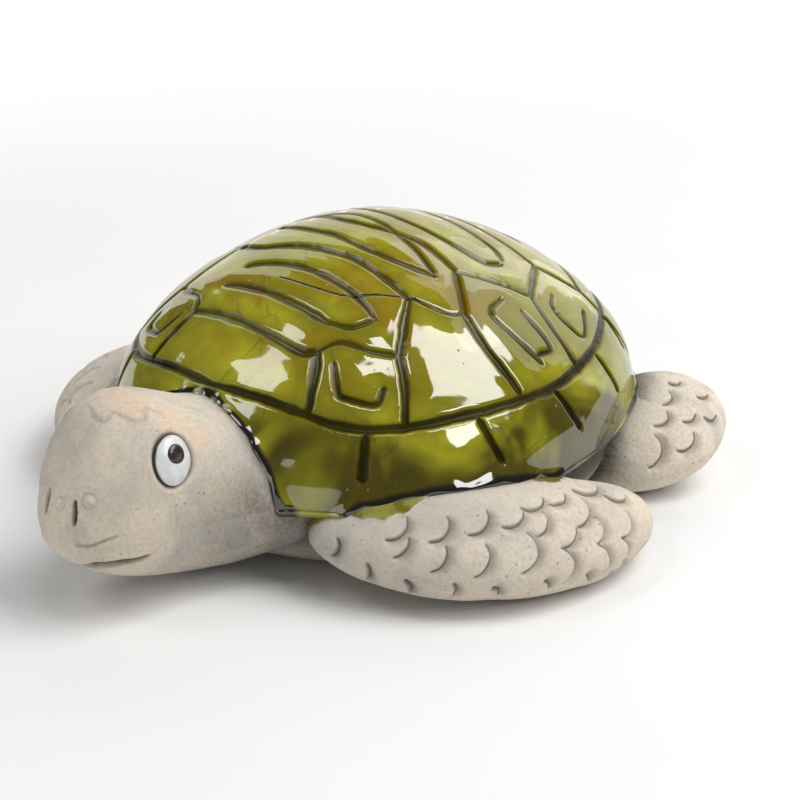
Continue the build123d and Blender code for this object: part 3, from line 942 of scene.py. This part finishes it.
# Eyes sit on the head's side, leaning back at the top
EYE_PLACE = np.array((13.0, -64.2, 30.5))
EYE_OUT = np.array((0.955, 0.0, 0.297))
EYE_SIZE = (3.95, 4.55, 1.8)
EYE_LEAN = 13.0
EYE_SINK = 0.7
PUPIL_SIZE = (1.95, 2.0, 0.7)
PUPIL_FRONT = 0.1
PUPIL_UP = 0.9
PUPIL_SINK = 0.45
PELLET_SHARE = 0.86


def eye_ways():
    """Forward and upward directions of the left eye, in its own plane."""
    front = np.array((0.0, -1.0, 0.0))
    up = np.cross(front, EYE_OUT)
    up *= np.sign(up[2])
    tilt = radians(EYE_LEAN)
    return front * cos(tilt) + up * sin(tilt), up * cos(tilt) - front * sin(tilt)


def settle(places):
    """Nearest places on the head."""
    return np.array([head_tree.find_nearest(Vector(place))[0] for place in places])


def press_mouth(points, move, cavity):
    """Cuts the mouth into the face, between soft lips."""
    half_mouth = np.array(MOUTH_HALF)
    mouth = settle(rounded_line(np.concatenate([mirrored(half_mouth)[::-1][:-1], half_mouth])))
    near, along, foot = line_distance(points, mouth, 5.0)
    half = MOUTH_GAPE * taper(along, 3) + 0.05
    slit = ease((half - near - 0.15 * lumps(points, 1.5, 14)) / (0.6 * half))
    above = points[:, 2] - foot[:, 2]
    close = (near < 3.0) * taper(along, 5)
    move += -MOUTH_DEPTH * slit + close * UPPER_LIP_RISE * bell(above - LIP_OFFSET, 0.7)
    move += close * LOWER_LIP_RISE * bell(above + LIP_OFFSET, 0.8)
    # Painted shade inside the mouth's slit
    np.maximum(cavity, slit, out=cavity)


def press_nostrils(points, move, cavity):
    """Cuts both nostrils."""
    for flip in (1.0, -1.0):
        near, along, _ = line_distance(points, settle(np.array(NOSTRIL) * (flip, 1.0, 1.0)), 3.0)
        half = NOSTRIL_GAPE * taper(along, 4) + 0.04
        slit = ease((half - near) / (0.6 * half))
        move -= NOSTRIL_DEPTH * slit
        # Painted shade inside each nostril
        np.maximum(cavity, slit, out=cavity)


def press_skin(points, move, cavity):
    """Bumps of the nose, each in a faint ring, the cheek's crease and the flaked edge on the brow."""
    for place, size in FACE_BUMPS:
        away = norm(points - settle([place])[0], axis=1)
        ring = bell(away - size * 1.15, 0.28)
        move += BUMP_RISE * ease(1.25 - away / size)
        move -= 0.15 * ring
        # Painted shade in the faint ring round each bump
        np.maximum(cavity, 0.14 * ring, out=cavity)
    near, along, _ = line_distance(points, settle(rounded_line(CREASE)), 3.0)
    fold = ease(1 - near / CREASE_WIDTH) * taper(along, 3)
    move -= CREASE_DEPTH * fold
    # Painted shade in the crease
    np.maximum(cavity, 0.45 * fold, out=cavity)
    near, along, _ = line_distance(points, settle(rounded_line(SCALLOPS)), 3.0)
    flake = bell(near, SCALLOP_WIDTH) * taper(along, 4)
    move -= SCALLOP_DEPTH * flake
    # Painted shade along the flaked edge
    np.maximum(cavity, 0.25 * flake, out=cavity)


def press_sockets(points, move, cavity):
    """Sinks the clay under both eyes, with a dark ring and a low lid round each."""
    wide, tall = eye_ways()
    for flip in (1.0, -1.0):
        offset = points * (flip, 1.0, 1.0) - EYE_PLACE
        across, up = offset @ wide / EYE_SIZE[0], offset @ tall / EYE_SIZE[1]
        ring = np.where(abs(offset @ EYE_OUT) < SOCKET_REACH, np.hypot(across, up), FAR)
        move -= SOCKET_DEPTH * bell(ring - 1.02, 0.07) + 0.25 * ease(1.6 - 1.6 * ring)
        move += LID_RISE * bell(ring - 1.25, 0.13)
        # Painted shade in the groove round the eye
        np.maximum(cavity, bell(ring - 1.0, 0.065), out=cavity)


def build_head():
    points = keep_outside(head_base, HEAD_SINK)
    normals = vertex_normals(points, head_quads, HEAD_MIDDLE)
    gap = body_gap(points)
    # Darker clay near the shell and low on the neck: partly soot, mostly painted shade under the shell's
    # overhang
    soot = 0.85 * bell(gap, 2.2 + lumps(points, 7.0, 7))
    smoke_and_shade = bell(gap, 12.0) * ease((29.0 - points[:, 2]) / 11.0)
    soot = np.maximum(soot, smoke_and_shade * (0.6 + 0.25 * lumps(points, 5.0, 8)))
    # Painted shade in the gap between the neck and the front paddles
    for tree in paddle_trees:
        beside = gap_to(tree, points, points[:, 1] > HEAD_MIDDLE[1], SEAM_REACH)
        soot = np.maximum(soot, 0.9 * bell(beside, 2.4))
    move = uneven(points, (11.0, 11, 0.28), (4.5, 12, 0.1), (1.8, 13, 0.03))
    cavity = np.zeros(len(points))
    for press in (press_mouth, press_nostrils, press_skin, press_sockets):
        press(points, move, cavity)
    peach = np.max([dab(points, place, size) for place, size in WARM_SPOTS], axis=0)
    peach = ease(1.6 * peach + 0.35 * lumps(points, 3.0, 15) - 0.2)
    grey = np.max([dab(points, place, SLIP_SIZE) for place in SLIP_PATCH], axis=0)
    grey = ease(2.2 * grey + 0.25 * lumps(points, 2.5, 16) - 0.35)
    # Greyer clay near the shell, partly painted shade under it
    grey = np.maximum(grey, 0.55 * bell(gap, 7.0))
    out, quads = close_cap(points + normals * move[:, None], head_quads, head_border)
    marks = clay_marks(len(out), soot=soot, cavity=cavity, peach=peach, grey=grey)
    make_piece("head_and_neck", out, quads, clay, ["head"], marks)


# Scales pressed into the paddles with a curved tool. Each has its share along the spine, angle round the
# section, radius, direction of its middle, half of its sweep (all angles in degrees) and depth.
FRONT_SCALES = (
    (0.22, 65, 3.3, -32, 67, 0.7), (0.23, 47, 3.3, -31, 50, 0.7), (0.31, 65.5, 3.6, -29, 67, 0.7),
    (0.31, 37, 3.3, -26, 58, 0.7), (0.395, 74, 4.0, -36, 62, 0.8), (0.395, 35, 3.6, -20, 62, 0.8),
    (0.485, 76, 3.4, -55, 61, 0.7), (0.535, 68, 3.8, -25, 59, 0.8), (0.495, 39, 4.0, -12, 75, 0.8),
    (0.555, 90, 3.2, -65, 70, 0.6), (0.625, 95, 3.4, -65, 57, 0.6), (0.755, 108, 3.9, -82, 71, 0.7),
    (0.645, 77.5, 5.0, -32, 58, 0.8), (0.6, 55, 3.6, -50, 54, 0.7), (0.58, 17.5, 3.6, -3, 71, 0.8),
    (0.68, 52, 3.3, -21, 65, 0.7), (0.68, 11.5, 3.2, 7, 75, 0.7), (0.77, 54, 3.8, -42, 64, 0.8),
    (0.75, 16, 2.6, 3, 50, 0.7), (0.835, 91, 3.4, -93, 76, 0.6), (0.75, -6, 1.5, -60, 108, 0.6),
    (0.09, 22.5, 1.9, -10, 71, 1.0), (0.14, -2, 4.2, -15, 46, 1.1), (0.23, -19, 4.2, 7, 40, 1.1),
    (0.325, -8, 3.9, 4, 29, 1.0), (0.445, -11.5, 1.3, 39, 68, 1.0), (0.545, -10, 2.0, 37, 41, 1.0),
    (0.63, -23, 3.9, 32, 25, 1.0),
)
REAR_SCALES = (
    (0.59, 98, 3.1, 5, 59, 0.7), (0.645, 78, 2.5, -18, 70, 0.7), (0.63, 45.5, 4.0, 3, 68, 0.8),
    (0.795, 87.5, 2.5, -26, 51, 0.6), (0.835, 59, 3.0, -21, 69, 0.7), (0.925, 105, 1.7, -36, 75, 0.5),
    (0.8, 124, 2.0, -26, 53, 0.6), (0.63, 123, 1.2, -54, 96, 0.5),
)
# Runs of glaze over the shell's edge onto a paddle: share along it from and to, and width
FRONT_SMEARS = ((-0.04, 0.33, 3.6), (0.58, 0.9, 2.6))

# Kinds of paddle: spine, size, base, mesh, scales, smears, paleness of the clay and width of the dark band
# at the seam, partly soot and partly painted shade
paddle_mesh = (paddle_quads, paddle_border, paddle_run)
tail_mesh = (tail_quads, tail_border, tail_run)
FRONT_KIND = (FRONT_SPINE, FRONT_SIZE, front_base, paddle_mesh, FRONT_SCALES, FRONT_SMEARS, 0.25, 1.4)
REAR_KIND = (REAR_SPINE, REAR_SIZE, rear_base, paddle_mesh, REAR_SCALES, (), 0.7, 3.4)
TAIL_KIND = (TAIL_SPINE, TAIL_SIZE, tail_base, tail_mesh, (), (), 0.4, 1.8)
SCALE_REACH = 6.0
SCALE_THICK = 5.0
SCALE_DEPTH = 1.1
SCALE_STEP = 0.3
SCALE_SLOPE = 1.1
PADDLE_SINK = 1.5
FLAT_FOOT = 0.4
HEAD_SIDE_Y = -20.0
SMEAR_ENDS = 0.09
SMEAR_RISE = 0.25


def pressed(points, spine, size, scales):
    """Rise of the scales pressed into a paddle, and the shade painted into their cuts."""
    move = np.zeros(len(points))
    shade = np.zeros(len(points))
    for along, angle, radius, turn, half, depth in scales:
        place, forward, side, outward = paddle_seat(spine, size, radians(angle), along)
        offset = points - place
        near = norm(offset, axis=1) < radius + SCALE_REACH
        pick = np.nonzero(near & (abs(offset @ outward) < SCALE_THICK))[0]
        ahead, across = offset[pick] @ forward, offset[pick] @ side
        away = np.hypot(ahead, across) - radius + 0.15 * lumps(points[pick], 1.7, 31)
        swing = np.degrees(np.arctan2(across, ahead)) - turn
        swing = abs((swing + 180.0) % 360.0 - 180.0)
        fade = np.clip(1 - (swing / half) ** 2.5, 0.0, 1.0)
        recess = bell(away, SCALE_STEP + SCALE_SLOPE * fade)
        recess = np.where(away > 0, recess, ease(1 + away / SCALE_STEP))
        move[pick] = np.minimum(move[pick], -SCALE_DEPTH * depth * fade**0.6 * recess)
        # Painted shade: a dark line at each cut's edge and a shaded band across its recess
        line = bell(away - 0.05, 0.24) * np.minimum(3 * fade, 1.0)
        shade[pick] = np.maximum(shade[pick], np.maximum(0.92 * line, 0.46 * fade * recess))
    return move, shade


def build_paddle(name, node, flip, spine, size, base, mesh, scales, smears, pale, soot_width):
    quads, border, run = mesh
    points = keep_outside(base, PADDLE_SINK)
    points[:, 2] = np.maximum(points[:, 2], 0.0)
    normals = vertex_normals(points, quads, points.mean(0))
    gap = body_gap(points)
    # Darker clay along the seam with the body, partly a stain and partly painted shade under the shell's
    # edge
    soot = 0.9 * bell(gap, soot_width * (1 + 0.6 * lumps(points, 6.0, 21)))
    # Painted shade where a front paddle lies beside the neck
    beside = gap_to(head_tree, points, points[:, 1] < HEAD_SIDE_Y, SEAM_REACH)
    soot = np.maximum(soot, 0.9 * bell(beside, 2.2))
    move, shade = pressed(points, spine, size, scales)
    move += uneven(points, (9.0, 22, 0.25), (3.5, 23, 0.1), (1.6, 24, 0.03))
    smear = np.zeros(len(points))
    for first, last, width in smears:
        inside = ease((run - first) / SMEAR_ENDS) * ease((last - run) / SMEAR_ENDS)
        reach = width * inside * (1 + 0.55 * lumps(points, 4.0, 25) + 0.35 * lumps(points, 1.4, 27))
        smear = np.maximum(smear, (inside > 0) * ease(1.5 - gap / np.maximum(reach, 0.2)))
    move += SMEAR_RISE * smear
    move = np.where(points[:, 2] < FLAT_FOOT, 0.0, move)
    shaped = points + normals * move[:, None]
    shaped[:, 2] = np.maximum(shaped[:, 2], 0.0)
    out, all_quads = close_cap(shaped, quads, border)
    peach = 0.75 * ease((run - 0.45) / 0.45) * (0.6 + 0.4 * lumps(points, 8.0, 26))
    grey = 0.6 * ease((0.42 - run) / 0.35) + 0.3 * bell(gap, 5.0)
    peach = np.clip(peach, 0.0, 1.0)
    light = pale * ease((run - 0.25) / 0.3)
    marks = clay_marks(len(out), soot=soot, cavity=shade, smear=smear, peach=peach, grey=grey, light=light)
    make_piece(name, out, all_quads, clay, [node], marks, flip)


# Belly: shares along its side, and its inner lip
SIDE_STEPS = np.linspace(0.05, 1.0, 40)
LIP_SHARE = 0.9
LIP_DROP = 2.0


def build_belly():
    angle, share, quads, border = disc_grid(BELLY_GRID)
    turns = angle[border]

    def ring(out, height, turns):
        half, reach = SHELL_HALF_WIDTH - BELLY_INSET, reach_of(np.sin(turns)) - BELLY_INSET
        return np.stack([half * out * np.cos(turns), reach * out * np.sin(turns), height + 0 * turns], -1)

    loops = []
    for step in SIDE_STEPS:
        loops.append(ring(np.interp(step, tray, tray_out), np.interp(step, tray, tray_up) * RIM, turns))
    loops.append(ring(LIP_SHARE, RIM, turns))
    loops.append(ring(LIP_SHARE, RIM - LIP_DROP, turns))
    out, all_quads, last = add_loops(ring(BELLY_FOOT_SHARE * share, 0.0, angle), quads, border, loops)
    out, all_quads = close_cap(out, all_quads, last)
    # Painted shade: the belly darkens towards the rim it sits under, and its recess mark follows it
    soot = 0.2 + 0.78 * ease((out[:, 2] - 4.0) / 7.0)
    marks = clay_marks(len(out), soot=soot, cavity=0.6 * soot)
    make_piece("belly", out, all_quads, clay, ["plastron"], marks)


def pellet(centre, size, count):
    """Flat round pellet in the left eye's plane."""
    angle, share, quads, border = disc_grid(count)
    wide, tall = eye_ways()
    polar = share * pi * PELLET_SHARE
    points = (
        centre
        + np.outer(size[0] * np.sin(polar) * np.cos(angle), wide)
        + np.outer(size[1] * np.sin(polar) * np.sin(angle), tall)
        + np.outer(size[2] * np.cos(polar), EYE_OUT)
    )
    points, quads = close_cap(points, quads, border)
    return points, quads, polar


def build_eye(side, flip):
    wide, tall = eye_ways()
    centre = EYE_PLACE - EYE_OUT * EYE_SINK
    points, quads, polar = pellet(centre, EYE_SIZE, EYE_GRID)
    marks = {"rim": np.concatenate([polar / (pi / 2), np.full(len(points) - len(polar), 2.0)])}
    make_piece(f"eye_white_{side}", points, quads, eye_white, [f"eye_{side}"], marks, flip)
    edge = np.hypot(PUPIL_FRONT / EYE_SIZE[0], PUPIL_UP / EYE_SIZE[1])
    lift = EYE_SIZE[2] * np.sqrt(1 - edge**2) - PUPIL_SINK
    seat = centre + EYE_OUT * lift + wide * PUPIL_FRONT + tall * PUPIL_UP
    points, quads, _ = pellet(seat, PUPIL_SIZE, PUPIL_GRID)
    make_piece(f"eye_pupil_{side}", points, quads, pupil_dark, [f"pupil_{side}"], flip=flip)


build_carapace()
build_belly()
build_head()
for side, flip in (("left", False), ("right", True)):
    build_paddle(f"front_paddle_{side}", f"front_flipper_{side}", flip, *FRONT_KIND)
    build_paddle(f"rear_paddle_{side}", f"rear_flipper_{side}", flip, *REAR_KIND)
    build_eye(side, flip)
build_paddle("tail_stub", "tail", False, *TAIL_KIND)

# Floor, in metres. Beyond the shadow it fades to plain white where it is seen directly or mirrored.
FLOOR_HALF = 4.0
PAPER_TONES = ((0.83, 0.83, 0.825), (0.85, 0.85, 0.845))
FADE_START = 0.15
FADE_END = 0.34
WHITE = (1.0, 1.0, 1.0, 1.0)


def build_floor():
    mesh = bpy.data.meshes.new("floor")
    corners = [(x * FLOOR_HALF, y * FLOOR_HALF, 0.0) for x, y in ((-1, -1), (1, -1), (1, 1), (-1, 1))]
    mesh.from_pydata(corners, [], [(0, 1, 2, 3)])
    floor = bpy.data.objects.new("floor", mesh)
    scene.collection.objects.link(floor)
    s = Shader("floor_paper")
    s.set(Base_Color=s.blend(s.noise(30.0, 2.0), *PAPER_TONES), Roughness=0.9, Specular_IOR_Level=0.1)
    rays = s.node("LightPath").outputs
    seen = s.math("MAXIMUM", rays["Is Camera Ray"], rays["Is Glossy Ray"])
    seen = s.math("MAXIMUM", seen, rays["Is Transmission Ray"])
    away = s.fill("VectorMath", "LENGTH", s.coords)
    amount = s.times(seen, s.span(away.outputs["Value"], FADE_START, FADE_END))
    white = s.node("Emission", Color=WHITE, Strength=1.0)
    mix = s.fill("MixShader", None, amount, s.surface.outputs[0], white.outputs[0])
    s.put(s.output.inputs["Surface"], mix.outputs[0])
    mesh.materials.append(s.material)


build_floor()

# Light, in metres and watts
LAMP_TARGET = Vector((0.0, 0.0, 0.03))
SIDEWAYS = (0.55, -0.33, -0.32)
WORLD_STRENGTH = 0.07


def softbox(name, direction, lean, distance, size, power):
    """Soft area lamp seen from the object in a direction, with its first side along the lean."""
    light = bpy.data.lights.new(name, "AREA")
    light.shape = "RECTANGLE"
    light.size, light.size_y = size
    light.energy = power
    lamp = bpy.data.objects.new(name, light)
    scene.collection.objects.link(lamp)
    way = Vector(direction).normalized()
    first = Vector(lean)
    first = (first - way * first.dot(way)).normalized()
    second = way.cross(first)
    lamp.location = LAMP_TARGET + way * distance
    lamp.rotation_mode = "QUATERNION"
    lamp.rotation_quaternion = Matrix((first, second, way)).transposed().to_quaternion()


softbox("key_softbox", (0.49, 0.31, 0.81), SIDEWAYS, 1.0, (0.66, 0.64), 7.6)
softbox("small_softbox", (0.23, -0.14, 0.96), SIDEWAYS, 1.0, (0.2, 0.26), 1.0)
softbox("low_softbox", (0.83, 0.07, 0.55), (0.0, 1.0, 0.0), 1.0, (0.3, 0.24), 1.7)
softbox("fill_softbox", (-0.36, -0.46, 0.82), (1.0, -1.0, 0.0), 1.1, (0.42, 0.42), 2.0)
softbox("back_panel_left", (-0.6, 0.72, 0.47), (0.72, 0.6, 0.0), 1.1, (1.4, 1.15), 4.8)
softbox("back_panel_right", (0.04, 0.92, 0.47), (1.0, 0.0, 0.0), 1.1, (0.8, 1.15), 2.3)
softbox("front_panel", (-0.38, -0.9, 0.2), (0.9, -0.38, 0.0), 1.1, (1.5, 0.5), 3.3)

world = bpy.data.worlds.new("studio")
scene.world = world
world.use_nodes = True
sky = world.node_tree.nodes["Background"].inputs
sky["Color"].default_value = WHITE
sky["Strength"].default_value = WORLD_STRENGTH

# Camera, fitted to the photograph as 800 by 800
CAMERA_AZIMUTH = 40.31
CAMERA_ELEVATION = 23.45
CAMERA_DISTANCE = 415.08
CAMERA_ACROSS = 7.6
CAMERA_HEIGHT = 17.05
CAMERA_FIELD = 22.0
SENSOR_WIDTH = 36.0
CLIP_START = 0.01
CLIP_END = 50.0

azimuth, elevation = radians(CAMERA_AZIMUTH), radians(CAMERA_ELEVATION)
back = Vector((sin(azimuth) * cos(elevation), -cos(azimuth) * cos(elevation), sin(elevation)))
right = Vector((cos(azimuth), sin(azimuth), 0.0))
target = right * CAMERA_ACROSS + Vector((0.0, 0.0, CAMERA_HEIGHT))
camera = bpy.data.objects.new("camera", bpy.data.cameras.new("camera"))
scene.collection.objects.link(camera)
camera.data.sensor_width = SENSOR_WIDTH
camera.data.lens = SENSOR_WIDTH / 2 / tan(radians(CAMERA_FIELD) / 2)
camera.location = (target + back * CAMERA_DISTANCE) * MM
camera.rotation_mode = "QUATERNION"
camera.rotation_quaternion = back.to_track_quat("Z", "Y")
camera.data.clip_start = CLIP_START
camera.data.clip_end = CLIP_END
scene.camera = camera

scene.view_settings.view_transform = "Standard"
